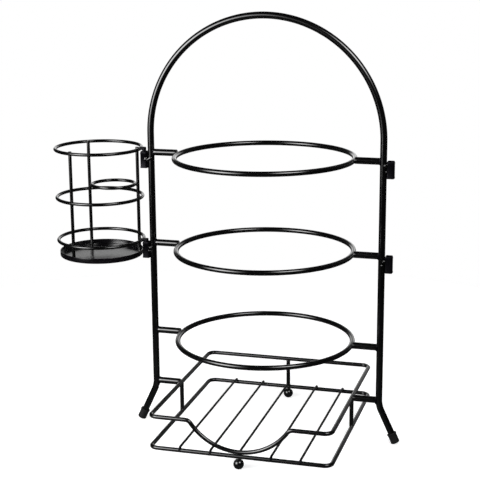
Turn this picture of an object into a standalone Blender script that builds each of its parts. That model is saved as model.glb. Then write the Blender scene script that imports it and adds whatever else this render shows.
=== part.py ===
# Three-tier wire plate stand with an arched handle, a low basket and a lift-off cutlery cup.
# Metres, +Z up, +X to the stand's right, +Y to its back. The origin is the bottom centre of the whole box.

import math

import bmesh
import bpy
from mathutils import Matrix, Vector

# Gap between two faces that are welded, pressed or rested on each other
SEAT_GAP = 0.0003

# Main rod: two legs and the arched handle in one length
ROD_RADIUS = 0.004
ARCH_RADIUS = 0.140
ARCH_CENTRE_Z = 0.364
KNEE_Z = 0.047
KNEE_BEND_RADIUS = 0.032
KICK_ANGLE = math.radians(25.0)

# Rubber caps on the two ends of the rod
CAP_RADIUS = 0.0053
CAP_LENGTH = 0.0125
CAP_SOLE = 0.0025
CAP_SOLE_ROUND = 0.0010
CAP_LIP_ROUND = 0.0004

# Plate rings on three tiers
PLATE_RING_RADIUS = 0.105
PLATE_WIRE_RADIUS = 0.003
LOWEST_TIER_Z = 0.1183
TIER_PITCH = 0.111

# Short bars that weld the rings and the basket to the legs
STUB_RADIUS = 0.004
LEG_WELD_SPREAD = 0.0009
RING_WELD_SPREAD = 0.0003
WELD_LENGTH = 0.0018
WELD_SINK = 0.0011

# Basket: two closed wire frames, one above the other
BASKET_WIRE_RADIUS = 0.0025
BASKET_HALF_WIDTH = 0.1071
BASKET_HALF_DEPTH = 0.1182
BASKET_CORNER_RADIUS = 0.009
BASKET_RIM_Z = 0.0535
DIP_RADIUS = 0.070
DIP_SHOULDER_RADIUS = 0.008

# Basket floor: thin wires from front to back
GRID_WIRE_RADIUS = 0.00125
GRID_WIRE_X = (-0.0703, -0.0336, 0.0, 0.0382, 0.0727)
GRID_OVERHANG = 0.0015

# Ball feet under the basket
BALL_RADIUS = 0.00625
BALL_NECK_RADIUS = 0.0022

# Sheet pockets on the outside of the legs
POCKET_OUT = 0.0089
POCKET_DEPTH = 0.010
POCKET_HEIGHT = 0.020
POCKET_WALL = 0.0012
POCKET_CORNER_RADIUS = 0.0020
POCKET_RISE = 0.0017
BEAD_RADIUS = 0.0020
BEAD_LENGTH = 0.0070
BEAD_DROP = 0.0085

# Cutlery cup of wire rings, uprights and a pan
CUP_WIRE_RADIUS = 0.002
CUP_RING_RADIUS = 0.0520
CUP_RING_SPAN = 0.1124
CUP_MIDDLE_RING_RISE = 0.0528
UPRIGHT_COUNT = 3
UPRIGHT_START = math.radians(7.5)
UPRIGHT_TIP = 0.0020
DIVIDER_RADIUS = 0.026
DIVIDER_RISE = 0.068

# Pan that closes the cup
PAN_DROP = 0.0131
PAN_HEIGHT = 0.0068
PAN_WALL = 0.0008
PAN_CORNER_RADIUS = 0.0016

# Hooks that hang the cup in the pockets
HOOK_THICKNESS = 0.0030
HOOK_WIDTH = 0.0070
HOOK_BEND_RADIUS = 0.0006
HOOK_REACH = 0.00685
HOOK_DROP = 0.0180

# Smoothness of the round shapes
ROD_SIDES = 12
RING_SIDES = 10
WIRE_SIDES = 8
PLATE_RING_STEPS = 56
CUP_RING_STEPS = 40
DIVIDER_STEPS = 28
BAR_SIDES = 12
TURNED_SIDES = 20
PAN_STEPS = 48
HANDLE_STEP = math.radians(3.75)
BEND_STEP = math.radians(7.5)
CORNER_STEP = math.radians(15.0)

# Sizes worked out from the ones above
TIERS = {"bottom": LOWEST_TIER_Z, "middle": LOWEST_TIER_Z + TIER_PITCH, "top": LOWEST_TIER_Z + 2 * TIER_PITCH}
STUB_LIFT = STUB_RADIUS - PLATE_WIRE_RADIUS
BASKET_FLOOR_Z = 2 * BALL_RADIUS + SEAT_GAP + BASKET_WIRE_RADIUS
DIP_BOTTOM_Z = BASKET_FLOOR_Z + 2 * BASKET_WIRE_RADIUS + SEAT_GAP
GRID_Z = BASKET_FLOOR_Z + BASKET_WIRE_RADIUS + SEAT_GAP + GRID_WIRE_RADIUS
SOLE_LIFT = CAP_SOLE_ROUND * (1 - math.cos(KICK_ANGLE)) + (CAP_RADIUS - CAP_SOLE_ROUND) * math.sin(KICK_ANGLE)
FOOT_X = ARCH_RADIUS + (KNEE_Z - SOLE_LIFT) * math.tan(KICK_ANGLE)
POCKET_INNER_X = ARCH_RADIUS + ROD_RADIUS + SEAT_GAP
LOWER_RIM_Z = TIERS["middle"] + POCKET_RISE
UPPER_RIM_Z = TIERS["top"] + POCKET_RISE
CUP_X = -(POCKET_INNER_X + POCKET_OUT / 2 + HOOK_REACH + CUP_RING_RADIUS)
CUP_BOTTOM_RING_Z = LOWER_RIM_Z + SEAT_GAP
CUP_TOP_RING_Z = CUP_BOTTOM_RING_Z + CUP_RING_SPAN
UPRIGHT_REACH = CUP_RING_RADIUS - 2 * CUP_WIRE_RADIUS - SEAT_GAP
PAN_RADIUS = UPRIGHT_REACH + CUP_WIRE_RADIUS + SEAT_GAP + PAN_WALL
PAN_RIM_Z = CUP_BOTTOM_RING_Z - PAN_DROP
PAN_BOTTOM_Z = PAN_RIM_Z - PAN_HEIGHT
CUP_LEFT_EDGE = CUP_X - CUP_RING_RADIUS - CUP_WIRE_RADIUS
FOOT_RIGHT_EDGE = (FOOT_X + (CAP_RADIUS - CAP_SOLE_ROUND) * math.cos(KICK_ANGLE)
                   + CAP_SOLE_ROUND * (1 - math.sin(KICK_ANGLE)))
STAND_X = -(CUP_LEFT_EDGE + FOOT_RIGHT_EDGE) / 2


def clear_scene():
    for thing in list(bpy.data.objects):
        bpy.data.objects.remove(thing, do_unlink=True)


def finish(name, colour, roughness, coat=0.0):
    material = bpy.data.materials.new(name)
    material.use_nodes = True
    shader = material.node_tree.nodes["Principled BSDF"]
    shader.inputs["Base Color"].default_value = (*colour, 1.0)
    shader.inputs["Roughness"].default_value = roughness
    shader.inputs["Coat Weight"].default_value = coat
    return material


def own_finish(name, base):
    copy = base.copy()
    copy.name = f"{name}_finish"
    return copy


def pivot(name, location, parent=None):
    empty = bpy.data.objects.new(name, None)
    empty.empty_display_size = 0.02
    empty.location = location
    empty.parent = parent
    bpy.context.scene.collection.objects.link(empty)
    return empty


def add(name, data, base, parent, location=(0, 0, 0), turn=0.0):
    data.materials.clear()
    data.materials.append(own_finish(name, base))
    piece = bpy.data.objects.new(name, data)
    piece.location = location
    piece.rotation_euler = (0, 0, turn)
    piece.parent = parent
    bpy.context.scene.collection.objects.link(piece)
    return piece


# Paths

def arc(centre, radius, start, end, step=CORNER_STEP):
    """Points on a circle in a plane, from one angle to another, both ends included."""
    count = max(2, math.ceil(abs(end - start) / step))
    angles = [start + (end - start) * i / count for i in range(count + 1)]
    return [(centre[0] + radius * math.cos(a), centre[1] + radius * math.sin(a)) for a in angles]


def rounded(corner, before, after, radius, step=CORNER_STEP):
    """The arc that rounds one corner of a flat path."""
    corner, before, after = Vector(corner), Vector(before), Vector(after)
    inward = (before - corner).normalized()
    outward = (after - corner).normalized()
    half = inward.angle(outward) / 2
    centre = corner + (inward + outward).normalized() * radius / math.sin(half)
    first = corner + inward * radius / math.tan(half) - centre
    last = corner + outward * radius / math.tan(half) - centre
    start = math.atan2(first.y, first.x)
    sweep = math.remainder(math.atan2(last.y, last.x) - start, math.tau)
    return arc(centre, radius, start, start + sweep, step)


def ring_path(radius, steps):
    angles = [math.tau * i / steps for i in range(steps)]
    return [(radius * math.cos(a), radius * math.sin(a), 0) for a in angles]


def leg_axis(distance):
    """Point on the kicked part of the right leg's axis, by its distance up from the sole."""
    return (FOOT_X - distance * math.sin(KICK_ANGLE), SOLE_LIFT + distance * math.cos(KICK_ANGLE))


def frame_path():
    tip = leg_axis(CAP_SOLE + SEAT_GAP)
    knee = (ARCH_RADIUS, KNEE_Z)
    spring = (ARCH_RADIUS, ARCH_CENTRE_Z)
    right_leg = [tip, *rounded(knee, tip, spring, KNEE_BEND_RADIUS, BEND_STEP)]
    handle = arc((0, ARCH_CENTRE_Z), ARCH_RADIUS, 0, math.pi, HANDLE_STEP)
    left_leg = [(-x, z) for x, z in reversed(right_leg)]
    return [(x, 0, z) for x, z in [*right_leg, *handle, *left_leg]]


def basket_outline():
    """The basket's rounded outline from above, anticlockwise from its front right corner."""
    signs = ((1, -1), (1, 1), (-1, 1), (-1, -1))
    corners = [(x * BASKET_HALF_WIDTH, y * BASKET_HALF_DEPTH) for x, y in signs]
    points = []
    for i in range(4):
        points += rounded(corners[i], corners[i - 1], corners[(i + 1) % 4], BASKET_CORNER_RADIUS)
    return points


def dip_path():
    """The front dip, from its left shoulder to its right one, in the X-Z plane."""
    bowl_z = DIP_BOTTOM_Z + DIP_RADIUS
    shoulder_z = BASKET_RIM_Z - DIP_SHOULDER_RADIUS
    reach = DIP_RADIUS + DIP_SHOULDER_RADIUS
    shoulder_x = math.sqrt(reach ** 2 - (bowl_z - shoulder_z) ** 2)
    lean = math.atan2(bowl_z - shoulder_z, shoulder_x)
    left = arc((-shoulder_x, shoulder_z), DIP_SHOULDER_RADIUS, math.pi / 2, lean)
    bowl = arc((0, bowl_z), DIP_RADIUS, math.pi + lean, math.tau - lean, BEND_STEP)
    right = [(-x, z) for x, z in reversed(left)]
    return [*left, *bowl[1:-1], *right]


# Solids

def wire(name, points, radius, sides, base, parent, location=(0, 0, 0), closed=False, blunt=0.0):
    """A bent round wire. A blunt end narrows over its last stretch."""
    curve = bpy.data.curves.new(name, "CURVE")
    curve.dimensions = "3D"
    curve.bevel_depth = radius
    curve.bevel_resolution = sides // 2 - 2
    curve.use_fill_caps = True
    radii = [1.0] * len(points)
    if blunt:
        first, second = Vector(points[0]), Vector(points[1])
        last, before = Vector(points[-1]), Vector(points[-2])
        start = first + (second - first).normalized() * blunt
        end = last + (before - last).normalized() * blunt
        points = [first, start, *points[1:-1], end, last]
        tip = 1.0 - blunt / radius
        radii = [tip, *[1.0] * (len(points) - 2), tip]
    spline = curve.splines.new("POLY")
    spline.points.add(len(points) - 1)
    spline.use_cyclic_u = closed
    spline.use_smooth = True
    for point, place, size in zip(spline.points, points, radii):
        point.co = (*place, 1.0)
        point.radius = size
    return add(name, curve, base, parent, location)


def skin(name, rings, first_pole=None, last_pole=None, crease=40.0):
    """A closed surface over a row of equal rings, with each open end drawn to a point."""
    bm = bmesh.new()
    rows = [[bm.verts.new(point) for point in ring] for ring in rings]
    sides = len(rows[0])
    for low, high in zip(rows, rows[1:]):
        for i in range(sides):
            j = (i + 1) % sides
            bm.faces.new((low[i], low[j], high[j], high[i]))
    for pole, row, turned in ((first_pole, rows[0], True), (last_pole, rows[-1], False)):
        if pole is None:
            continue
        tip = bm.verts.new(pole)
        for i in range(sides):
            j = (i + 1) % sides
            bm.faces.new((row[j], row[i], tip) if turned else (row[i], row[j], tip))
    bmesh.ops.recalc_face_normals(bm, faces=bm.faces)
    mesh = bpy.data.meshes.new(name)
    bm.to_mesh(mesh)
    bm.free()
    mesh.shade_smooth()
    mesh.set_sharp_from_angle(angle=math.radians(crease))
    return mesh


def circle(radius, height, sides):
    angles = [math.tau * i / sides for i in range(sides)]
    return [Vector((radius * math.cos(a), radius * math.sin(a), height)) for a in angles]


def turned(name, profile, sides):
    """A turned solid about Z. The profile runs from its first point on the axis to its last one."""
    rings = [circle(radius, height, sides) for radius, height in profile[1:-1]]
    return skin(name, rings, (0, 0, profile[0][1]), (0, 0, profile[-1][1]))


def cope(offset, radius, sink=1.0):
    """How far out from a wire's axis a part ends that is seated on it, at an offset to the side.

    The part keeps its seat gap to the wire, and the wire sinks into it no deeper than the sink.
    """
    reach = radius + SEAT_GAP
    return max(math.sqrt(max(reach ** 2 - offset ** 2, 0.0)), reach - sink)


def seat_face(radius, seat, sides=BAR_SIDES):
    """The end of a round bar that is hollowed to the wire it is welded to, as rim, middle ring and pole.

    A seat is the wire's radius, the direction across it (0 for X, 1 for Y), its offset that way and how deep
    it sinks in. Heights are measured along the bar from the wire's axis.
    """
    wire_radius, across, shift, sink = seat
    face = [circle(radius, 0, sides), circle(radius / 2, 0, sides), [Vector((0, 0, 0))]]
    for ring in face:
        for point in ring:
            point.z = cope(point[across] - shift, wire_radius, sink)
    return face


def coped_bar(name, length, radius, seats, spreads):
    """A bar along Z between the axes of two wires at 0 and length, with a small weld spread at each end."""
    low_rim, low_face, low_pole = seat_face(radius + spreads[0], seats[0])
    high_rim, high_face, high_pole = seat_face(radius + spreads[1], seats[1])
    for point in [*high_rim, *high_face, *high_pole]:
        point.z = length - point.z
    low = seats[0][0] + SEAT_GAP + WELD_LENGTH
    high = length - seats[1][0] - SEAT_GAP - WELD_LENGTH
    shaft = [circle(radius, low, BAR_SIDES), circle(radius, high, BAR_SIDES)]
    return skin(name, [low_face, low_rim, *shaft, high_rim, high_face], low_pole[0], high_pole[0])


def prism(name, outline, width):
    """A flat outline in X-Z, given thickness along Y about its middle."""
    bm = bmesh.new()
    face = bm.faces.new([bm.verts.new((x, -width / 2, z)) for x, z in outline])
    sweep = bmesh.ops.extrude_face_region(bm, geom=[face])
    moved = [item for item in sweep["geom"] if isinstance(item, bmesh.types.BMVert)]
    bmesh.ops.translate(bm, verts=moved, vec=(0, width, 0))
    bmesh.ops.recalc_face_normals(bm, faces=bm.faces)
    mesh = bpy.data.meshes.new(name)
    bm.to_mesh(mesh)
    bm.free()
    mesh.shade_smooth()
    mesh.set_sharp_from_angle(angle=math.radians(30.0))
    return mesh


def guide(name, mesh, location, parent):
    """A cutting or joining shape that isn't part of the stand."""
    tool = bpy.data.objects.new(name, mesh)
    tool.location = location
    tool.parent = parent
    tool.hide_render = True
    tool.display_type = "WIRE"
    bpy.context.scene.collection.objects.link(tool)
    return tool


def combine(piece, tool, operation):
    modifier = piece.modifiers.new(f"{operation.lower()}_{tool.name}", "BOOLEAN")
    modifier.object = tool
    modifier.operation = operation
    modifier.solver = "EXACT"
    return modifier


# Frame, caps and plate rings

def build_frame(steel, rubber, stand):
    wire("frame_rod", frame_path(), ROD_RADIUS, ROD_SIDES, steel, stand)
    bore = ROD_RADIUS + SEAT_GAP
    lip = CAP_RADIUS - CAP_LIP_ROUND
    step = math.radians(30)
    sole = arc((CAP_RADIUS - CAP_SOLE_ROUND, CAP_SOLE_ROUND), CAP_SOLE_ROUND, -math.pi / 2, 0, step)
    profile = [(0, 0), *sole, (CAP_RADIUS, CAP_LENGTH - CAP_LIP_ROUND), (lip, CAP_LENGTH),
               (bore, CAP_LENGTH), (bore, CAP_SOLE), (0, CAP_SOLE)]
    for name, side in (("left", -1), ("right", 1)):
        cap = add(f"foot_cap_{name}", turned("foot_cap", profile, TURNED_SIDES), rubber, stand,
                  (side * FOOT_X, 0, SOLE_LIFT))
        cap.rotation_euler = (0, -side * KICK_ANGLE, 0)


def build_plate_rings(steel, stand):
    for tier, height in TIERS.items():
        wire(f"plate_ring_{tier}", ring_path(PLATE_RING_RADIUS, PLATE_RING_STEPS), PLATE_WIRE_RADIUS,
             RING_SIDES, steel, stand, (0, 0, height), closed=True)


def build_stubs(steel, stand):
    """Each stub runs from a leg's inner side to a ring's or the basket's outer side."""
    ring_seat = (PLATE_WIRE_RADIUS, 0, -STUB_LIFT, WELD_SINK)
    basket_seat = (BASKET_WIRE_RADIUS, 0, 0.0, 0.0)
    leg_seat = (ROD_RADIUS, 1, 0.0, WELD_SINK)
    levels = {tier: (height + STUB_LIFT, PLATE_RING_RADIUS, ring_seat) for tier, height in TIERS.items()}
    levels["basket"] = (BASKET_RIM_Z, BASKET_HALF_WIDTH, basket_seat)
    for level, (height, inner, inner_seat) in levels.items():
        mesh = coped_bar(f"stub_{level}", ARCH_RADIUS - inner, STUB_RADIUS, (inner_seat, leg_seat),
                         (RING_WELD_SPREAD, LEG_WELD_SPREAD))
        # Laid down so that its length runs along +X and its own X points up
        mesh.transform(Matrix.Rotation(math.pi / 2, 4, "Y") @ Matrix.Rotation(math.pi, 4, "Z"))
        for name, side in (("left", -1), ("right", 1)):
            copy = mesh.copy()
            turn = math.pi if side < 0 else 0.0
            add(f"stub_{name}_{level}", copy, steel, stand, (side * inner, 0, height), turn)
        bpy.data.meshes.remove(mesh)


# Basket

def build_basket_frames(steel, stand):
    floor = [(x, y, BASKET_FLOOR_Z) for x, y in basket_outline()]
    wire("basket_lower_frame", floor, BASKET_WIRE_RADIUS, RING_SIDES, steel, stand, closed=True)
    dip = [(x, -BASKET_HALF_DEPTH, z) for x, z in dip_path()]
    rim = [(x, y, BASKET_RIM_Z) for x, y in basket_outline()]
    wire("basket_upper_frame", [*dip, *rim], BASKET_WIRE_RADIUS, RING_SIDES, steel, stand, closed=True)


def build_basket_floor(steel, stand):
    stop = BASKET_HALF_DEPTH - BASKET_WIRE_RADIUS - RING_WELD_SPREAD - SEAT_GAP
    for number, x in enumerate(GRID_WIRE_X, start=1):
        reach = BASKET_HALF_DEPTH + GRID_OVERHANG
        if abs(x) < BASKET_WIRE_RADIUS + GRID_WIRE_RADIUS + SEAT_GAP:
            # The middle wire stops at the dip in front and at the riser behind
            reach = stop
        wire(f"basket_grid_wire_{number}", [(x, -reach, GRID_Z), (x, reach, GRID_Z)], GRID_WIRE_RADIUS,
             WIRE_SIDES, steel, stand, blunt=GRID_WIRE_RADIUS / 4)


def build_basket_risers(steel, stand):
    """Short posts between the two basket frames, at both sides and at the back."""
    span = BASKET_RIM_Z - BASKET_FLOOR_Z
    posts = {"left": (-BASKET_HALF_WIDTH, 0, 0),
             "right": (BASKET_HALF_WIDTH, 0, 0),
             "back": (0, BASKET_HALF_DEPTH, 1)}
    for name, (x, y, across) in posts.items():
        seat = (BASKET_WIRE_RADIUS, across, 0.0, WELD_SINK)
        mesh = coped_bar(f"basket_riser_{name}", span, BASKET_WIRE_RADIUS, (seat, seat),
                         (RING_WELD_SPREAD, RING_WELD_SPREAD))
        add(f"basket_riser_{name}", mesh, steel, stand, (x, y, BASKET_FLOOR_Z))


def build_ball_feet(steel, stand):
    """Each ball has a short welded neck that is hollowed to the wire above it."""
    neck_angle = math.acos(BALL_NECK_RADIUS / BALL_RADIUS)
    side = arc((0, BALL_RADIUS), BALL_RADIUS, -math.pi / 2, neck_angle, math.radians(20))
    rings = [circle(radius, height, TURNED_SIDES) for radius, height in side[1:]]
    seat = (BASKET_WIRE_RADIUS, 1, 0.0, BALL_NECK_RADIUS)
    rim, face, pole = seat_face(BALL_NECK_RADIUS, seat, TURNED_SIDES)
    for point in [*rim, *face, *pole]:
        point.z = BASKET_FLOOR_Z - point.z
    mesh = skin("ball_foot", [*rings, rim, face], (0, 0, 0), pole[0])
    for name, side_y in (("front", -1), ("back", 1)):
        add(f"ball_foot_{name}", mesh.copy(), steel, stand, (0, side_y * BASKET_HALF_DEPTH, 0))
    bpy.data.meshes.remove(mesh)


# Pockets

def rounded_rectangle(width, depth, radius, height, step):
    """Outline about Z of a rectangle that starts at X = 0 and is centred on Y = 0."""
    corners = [(0, -depth / 2), (width, -depth / 2), (width, depth / 2), (0, depth / 2)]
    points = []
    for i, (x, y) in enumerate(corners):
        angle = math.pi * (1 + i / 2)
        centre = (x + math.copysign(radius, width / 2 - x), y - math.copysign(radius, y))
        points += arc(centre, radius, angle, angle + math.pi / 2, step)
    return [Vector((x, y, height)) for x, y in points]


def pocket_mesh():
    """A short open rectangular tube whose inner wall lies against the leg."""
    step = math.radians(45)
    inner_radius = POCKET_CORNER_RADIUS - POCKET_WALL
    loops = []
    for height in (0, POCKET_HEIGHT):
        outer = rounded_rectangle(POCKET_OUT, POCKET_DEPTH, POCKET_CORNER_RADIUS, height, step)
        inner = rounded_rectangle(POCKET_OUT - 2 * POCKET_WALL, POCKET_DEPTH - 2 * POCKET_WALL, inner_radius,
                                  height, step)
        inner = [point + Vector((POCKET_WALL, 0, 0)) for point in inner]
        loops.append((outer, inner))
    (outer_low, inner_low), (outer_high, inner_high) = loops
    return skin("pocket", [outer_low, outer_high, inner_high, inner_low, outer_low])


def build_pockets(steel, stand):
    """Pockets open at both ends, each with a weld bead to the leg in front and behind."""
    swell = BEAD_RADIUS * 0.7
    bead = turned("weld_bead", [(0, -BEAD_LENGTH / 2), (swell, -BEAD_LENGTH / 3), (BEAD_RADIUS, 0),
                                (swell, BEAD_LENGTH / 3), (0, BEAD_LENGTH / 2)], 8)
    bore = ROD_RADIUS + SEAT_GAP
    around_leg = [(0, -BEAD_LENGTH), (bore, -BEAD_LENGTH), (bore, BEAD_LENGTH), (0, BEAD_LENGTH)]
    leg = turned("leg_clearance", around_leg, TURNED_SIDES)
    leg.transform(Matrix.Rotation(math.pi / TURNED_SIDES, 4, "Z"))
    for level, rim in (("upper", UPPER_RIM_Z), ("lower", LOWER_RIM_Z)):
        for name, side in (("left", -1), ("right", 1)):
            turn = math.pi if side < 0 else 0.0
            pocket = add(f"pocket_{name}_{level}", pocket_mesh(), steel, stand,
                         (side * POCKET_INNER_X, 0, rim - POCKET_HEIGHT), turn)
            bead_z = rim - BEAD_DROP
            for place, across in (("front", -1), ("back", 1)):
                at = (side * (POCKET_INNER_X - SEAT_GAP), across * (ROD_RADIUS - BEAD_RADIUS / 4), bead_z)
                combine(pocket, guide(f"bead_{name}_{level}_{place}", bead, at, stand), "UNION")
            clearance = guide(f"clearance_{name}_{level}", leg, (side * ARCH_RADIUS, 0, bead_z), stand)
            combine(pocket, clearance, "DIFFERENCE")


# Cup

def build_cup_wires(steel, cup):
    rings = {"bottom": CUP_BOTTOM_RING_Z,
             "middle": CUP_BOTTOM_RING_Z + CUP_MIDDLE_RING_RISE,
             "top": CUP_TOP_RING_Z}
    for name, height in rings.items():
        wire(f"cup_ring_{name}", ring_path(CUP_RING_RADIUS, CUP_RING_STEPS), CUP_WIRE_RADIUS,
             WIRE_SIDES, steel, cup, (0, 0, height), closed=True)
    low = PAN_BOTTOM_Z + PAN_WALL + SEAT_GAP
    high = CUP_TOP_RING_Z + UPRIGHT_TIP
    for i, name in zip(range(UPRIGHT_COUNT), ("right", "back", "front")):
        angle = UPRIGHT_START + math.tau * i / UPRIGHT_COUNT
        x, y = UPRIGHT_REACH * math.cos(angle), UPRIGHT_REACH * math.sin(angle)
        wire(f"cup_upright_{name}", [(x, y, low), (x, y, high)], CUP_WIRE_RADIUS, WIRE_SIDES, steel, cup,
             blunt=CUP_WIRE_RADIUS / 4)
    reach = UPRIGHT_REACH - 2 * CUP_WIRE_RADIUS - SEAT_GAP - DIVIDER_RADIUS
    divider_z = CUP_BOTTOM_RING_Z + DIVIDER_RISE
    centre = (reach * math.cos(UPRIGHT_START), reach * math.sin(UPRIGHT_START), divider_z)
    wire("cup_divider_ring", ring_path(DIVIDER_RADIUS, DIVIDER_STEPS), CUP_WIRE_RADIUS, WIRE_SIDES, steel,
         cup, centre, closed=True)


def build_pan(steel, cup):
    inner = PAN_RADIUS - PAN_WALL
    inner_corner = PAN_CORNER_RADIUS - PAN_WALL
    quarter = math.pi / 2
    half_wall = PAN_WALL / 2
    step = math.radians(30)
    outside = arc((PAN_RADIUS - PAN_CORNER_RADIUS, PAN_CORNER_RADIUS), PAN_CORNER_RADIUS, -quarter, 0, step)
    lip = arc((PAN_RADIUS - half_wall, PAN_HEIGHT - half_wall), half_wall, 0, math.pi, 2 * step)
    inside = arc((inner - inner_corner, PAN_WALL + inner_corner), inner_corner, 0, -quarter, 1.5 * step)
    profile = [(0, 0), *outside, *lip, *inside, (0, PAN_WALL)]
    add("cup_pan", turned("cup_pan", profile, PAN_STEPS), steel, cup, (0, 0, PAN_BOTTOM_Z))


def hook_outline(ring_z):
    """Side view of a hook: a flange welded to the ring's outer side, bent down into the pocket's middle."""
    tab_x = CUP_RING_RADIUS + HOOK_REACH
    tab_left, tab_right = tab_x - HOOK_THICKNESS / 2, tab_x + HOOK_THICKNESS / 2
    top = ring_z + HOOK_THICKNESS
    tip = ring_z - HOOK_DROP
    quarter = math.pi / 2
    step = math.radians(30)
    bend = HOOK_BEND_RADIUS
    weld = [(CUP_RING_RADIUS + cope(rise, CUP_WIRE_RADIUS, CUP_WIRE_RADIUS), ring_z + rise)
            for rise in (CUP_WIRE_RADIUS, CUP_WIRE_RADIUS * 2 / 3, CUP_WIRE_RADIUS / 3, 0)]
    start = (weld[0][0], top)
    inside = arc((tab_left - bend, ring_z - bend), bend, quarter, 0, step)
    outside = arc((tab_right - bend, top - bend), bend, 0, quarter, step)
    return [start, *weld, *inside, (tab_left, tip), (tab_right, tip), *outside]


def build_hooks(steel, cup):
    for name, ring_z in (("lower", CUP_BOTTOM_RING_Z), ("upper", CUP_TOP_RING_Z)):
        add(f"cup_hook_{name}", prism(f"cup_hook_{name}", hook_outline(ring_z), HOOK_WIDTH), steel, cup)


def build():
    clear_scene()
    steel = finish("black_coated_steel", (0.018, 0.017, 0.018), 0.32, coat=0.3)
    sheet = finish("black_coated_sheet", (0.022, 0.020, 0.023), 0.24, coat=0.4)
    rubber = finish("black_rubber", (0.020, 0.020, 0.021), 0.7)
    stand = pivot("stand_centre", (STAND_X, 0, 0))
    cup = pivot("cup_lift", (CUP_X, 0, 0), stand)
    build_frame(steel, rubber, stand)
    build_plate_rings(steel, stand)
    build_stubs(steel, stand)
    build_basket_frames(steel, stand)
    build_basket_floor(steel, stand)
    build_basket_risers(steel, stand)
    build_ball_feet(steel, stand)
    build_pockets(sheet, stand)
    build_cup_wires(steel, cup)
    build_pan(sheet, cup)
    build_hooks(steel, cup)


build()
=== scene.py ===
"""Looks of a three-tier wire plate stand with a low basket and a lift-off cutlery cup.

Metres, +Z up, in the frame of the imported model. Every CAD node is replaced by a smoother piece of the same size,
with the welds, rims and rounded ends that the real one has, in black powder coat, black sheet or black rubber.
"""

import math

import bmesh
import bpy
import numpy as np
from mathutils import Matrix, Vector, noise


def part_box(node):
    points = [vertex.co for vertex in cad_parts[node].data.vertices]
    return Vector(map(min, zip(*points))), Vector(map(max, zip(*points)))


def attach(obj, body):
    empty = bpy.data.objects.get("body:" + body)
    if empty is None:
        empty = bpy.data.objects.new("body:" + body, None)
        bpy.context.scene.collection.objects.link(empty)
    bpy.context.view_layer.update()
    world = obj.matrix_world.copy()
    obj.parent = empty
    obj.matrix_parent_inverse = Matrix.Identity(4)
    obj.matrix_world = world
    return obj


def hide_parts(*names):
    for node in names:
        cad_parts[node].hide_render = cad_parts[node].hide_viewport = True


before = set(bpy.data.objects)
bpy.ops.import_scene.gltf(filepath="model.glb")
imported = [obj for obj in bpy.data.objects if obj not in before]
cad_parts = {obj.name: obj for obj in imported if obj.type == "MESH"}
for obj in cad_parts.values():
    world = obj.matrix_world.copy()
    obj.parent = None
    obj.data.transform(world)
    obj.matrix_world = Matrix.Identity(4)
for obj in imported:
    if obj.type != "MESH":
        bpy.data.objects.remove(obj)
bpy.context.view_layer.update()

MM = 0.001
WHITE = (1.0, 1.0, 1.0, 1.0)
SIDES = (("left", -1), ("right", 1))


def middle(node):
    """Middle of a CAD node's box."""
    low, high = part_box(node)
    return (low + high) / 2


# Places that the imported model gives
STAND_X = middle("plate_ring_top").x
CUP_X = middle("cup_ring_top").x
TIER_Z = {tier: middle(f"plate_ring_{tier}").z for tier in ("bottom", "middle", "top")}
CUP_RING_Z = {level: middle(f"cup_ring_{level}").z for level in ("bottom", "middle", "top")}
FLOOR_FRAME_Z = middle("basket_lower_frame").z
GRID_Z = middle("basket_grid_wire_1").z
GRID_X = [middle(f"basket_grid_wire_{number}").x for number in range(1, 6)]
DIVIDER = middle("cup_divider_ring")
PAN_LOW, PAN_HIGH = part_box("cup_pan")

# Sizes, the same as the solids'
SEAT = 0.3 * MM
ROD_R = 4.0 * MM
ARCH_R = 140.0 * MM
ARCH_Z = 364.0 * MM
KNEE_Z = 47.0 * MM
KNEE_R = 32.0 * MM
KICK = math.radians(25.0)
CAP_R = 5.3 * MM
CAP_LENGTH = 12.5 * MM
CAP_SOLE = 2.5 * MM
CAP_ROUND = 1.0 * MM
RING_R = 105.0 * MM
RING_WIRE_R = 3.0 * MM
STUB_R = 4.0 * MM
STUB_LIFT = 1.0 * MM
BASKET_WIRE_R = 2.5 * MM
BASKET_HALF_X = 107.1 * MM
BASKET_HALF_Y = 118.2 * MM
BASKET_CORNER_R = 9.0 * MM
BASKET_RIM_Z = 53.5 * MM
DIP_R = 70.0 * MM
DIP_SHOULDER_R = 8.0 * MM
GRID_WIRE_R = 1.25 * MM
BALL_R = 6.25 * MM
POCKET_OUT = 8.9 * MM
POCKET_DEPTH = 10.0 * MM
POCKET_HEIGHT = 20.0 * MM
POCKET_WALL = 1.2 * MM
POCKET_CORNER_R = 2.0 * MM
CUP_WIRE_R = 2.0 * MM
CUP_RING_R = 52.0 * MM
UPRIGHT_START = math.radians(7.5)
DIVIDER_R = 26.0 * MM
PAN_R = 50.8 * MM
PAN_WALL = 0.8 * MM
PAN_CORNER_R = 1.6 * MM
HOOK_THICKNESS = 3.0 * MM
HOOK_WIDTH = 7.0 * MM

# The slanted caps stand on the lowest point of their soles' round edges
SOLE_LIFT = CAP_ROUND * (1 - math.cos(KICK)) + (CAP_R - CAP_ROUND) * math.sin(KICK)
FOOT_X = ARCH_R + (KNEE_Z - SOLE_LIFT) * math.tan(KICK)

# Longest stretch without a ring of points on a long wire
STRETCH = 12 * MM

# Caps: the sole's hollow as share of the radius and height, the wall's waist as depth and height, and the rim
CAP_SLACK = 0.05 * MM
CAP_HOLLOW = ((0.0, 0.15 * MM), (0.45, 0.12 * MM), (0.52, 0.0))
CAP_WAIST = ((0.05 * MM, 3.2 * MM), (0.10 * MM, CAP_LENGTH - 3.0 * MM), (0.05 * MM, CAP_LENGTH - 2.2 * MM))
CAP_RIM_STEP = 0.35 * MM
CAP_RIM_HEIGHT = 1.5 * MM
CAP_RIM_ROUND = 0.25 * MM
CAP_MOUTH = 0.2 * MM

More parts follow.
